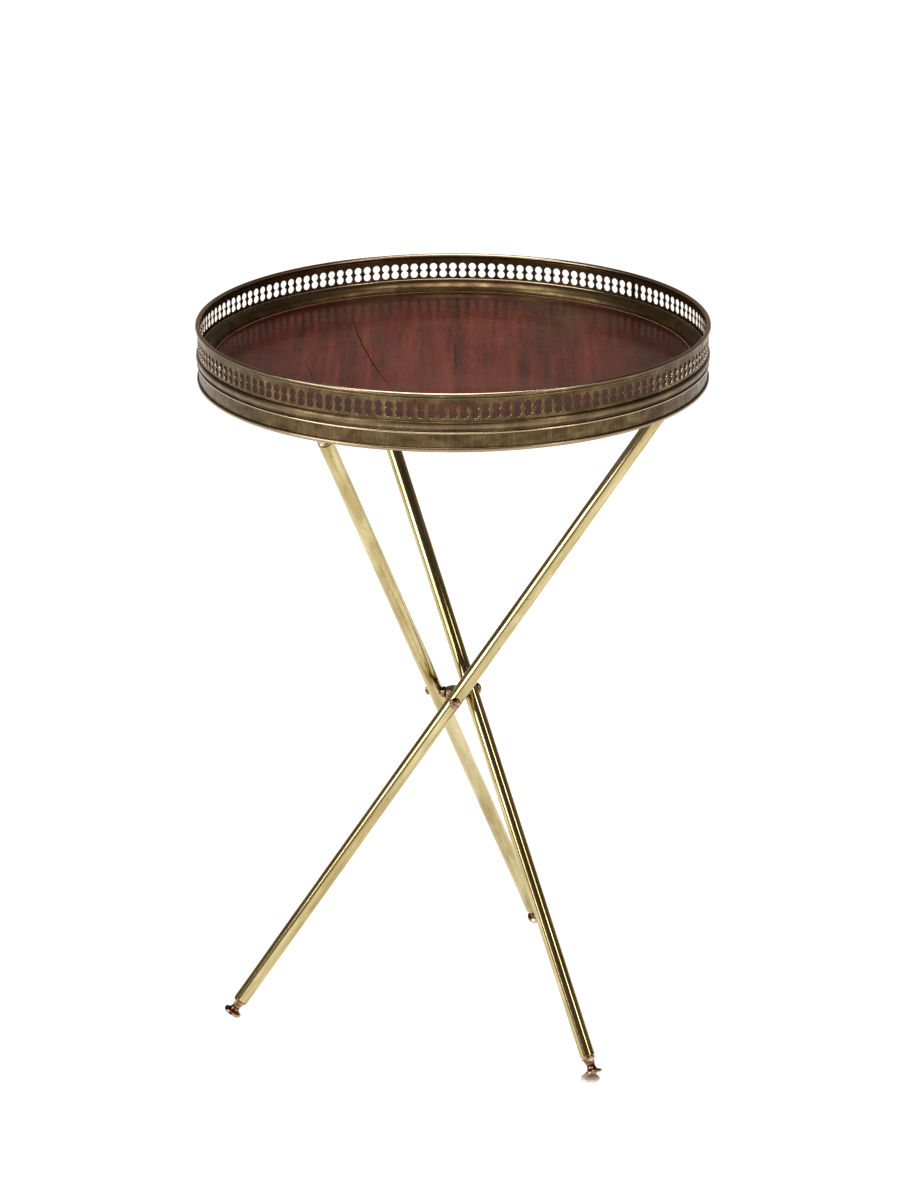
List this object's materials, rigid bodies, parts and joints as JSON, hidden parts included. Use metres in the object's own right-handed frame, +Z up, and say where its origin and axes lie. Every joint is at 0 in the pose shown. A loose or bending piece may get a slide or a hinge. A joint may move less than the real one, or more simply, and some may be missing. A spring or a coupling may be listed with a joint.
{
  "type": "folding tripod tray table",
  "caption": "Round occasional table: mahogany board in a pierced brass gallery tray that rests on a folding tripod of crossed brass tubes.",
  "frame": {"origin": "on the floor under the centre of the table", "axes": "+Z up; -Y is the front, on the side of the first pivot screw; +X to the right"},
  "size_m": [0.43, 0.43, 0.628],
  "materials": {
    "gallery_brass": "antique brass sheet, drawn and rolled, tarnished olive brown with bright beads",
    "leg_brass": "polished brass tube with small pits and handling marks",
    "turned_brass": "turned brass, polished on the high spots and dark bronze in the hollows",
    "mahogany": "glossy red-brown mahogany with streaky grain and fine cracks",
    "hoop_wood": "plain unpolished wood",
    "pale_pad": "off-white felt"
  },
  "bodies": {
    "hub": {"hub_core": "turned_brass", "pivot_screw_1": "turned_brass", "pivot_screw_2": "turned_brass", "pivot_screw_3": "turned_brass", "pivot_spacer_1": "turned_brass", "pivot_spacer_2": "turned_brass", "pivot_spacer_3": "turned_brass"},
    "tray": {"rim_bead": "gallery_brass", "gallery_strip": "gallery_brass", "gallery_moulding": "gallery_brass", "moulding_bead": "gallery_brass", "skirt_band": "gallery_brass", "bottom_bead": "gallery_brass", "cove_ring": "gallery_brass", "edge_hoop": "hoop_wood", "tray_board": "mahogany"},
    "leg_1": {"leg_tube_1": "leg_brass", "leg_top_1": "turned_brass", "leg_foot_1": "turned_brass"},
    "leg_2": {"leg_tube_2": "leg_brass", "leg_top_2": "turned_brass", "leg_foot_2": "turned_brass", "foot_pad_2": "pale_pad"},
    "leg_3": {"leg_tube_3": "leg_brass", "leg_top_3": "turned_brass", "leg_foot_3": "turned_brass"}
  },
  "joints": [
    {"name": "tray_lift", "type": "slide", "parent": "hub", "child": "tray", "axis": [0, 0, 1], "range_m": [0, 0.16]},
    {"name": "leg_1_fold", "type": "hinge", "parent": "hub", "child": "leg_1", "pos_m": [0.0009, -0.01728, 0.29395], "axis": [0.0523, -0.9986, 0], "range_deg": [0, 34.1]},
    {"name": "leg_2_fold", "type": "hinge", "parent": "hub", "child": "leg_2", "pos_m": [0.01451, 0.00942, 0.29395], "axis": [0.8387, 0.5446, 0], "range_deg": [0, 34.1]},
    {"name": "leg_3_fold", "type": "hinge", "parent": "hub", "child": "leg_3", "pos_m": [-0.01541, 0.00785, 0.29395], "axis": [-0.891, 0.454, 0], "range_deg": [0, 34.1]}
  ],
  "couplings": [
    {"joint": "leg_1_fold", "follows": "tray_lift", "rad_per_m": 3.719},
    {"joint": "leg_2_fold", "follows": "tray_lift", "rad_per_m": 3.719},
    {"joint": "leg_3_fold", "follows": "tray_lift", "rad_per_m": 3.719}
  ]
}
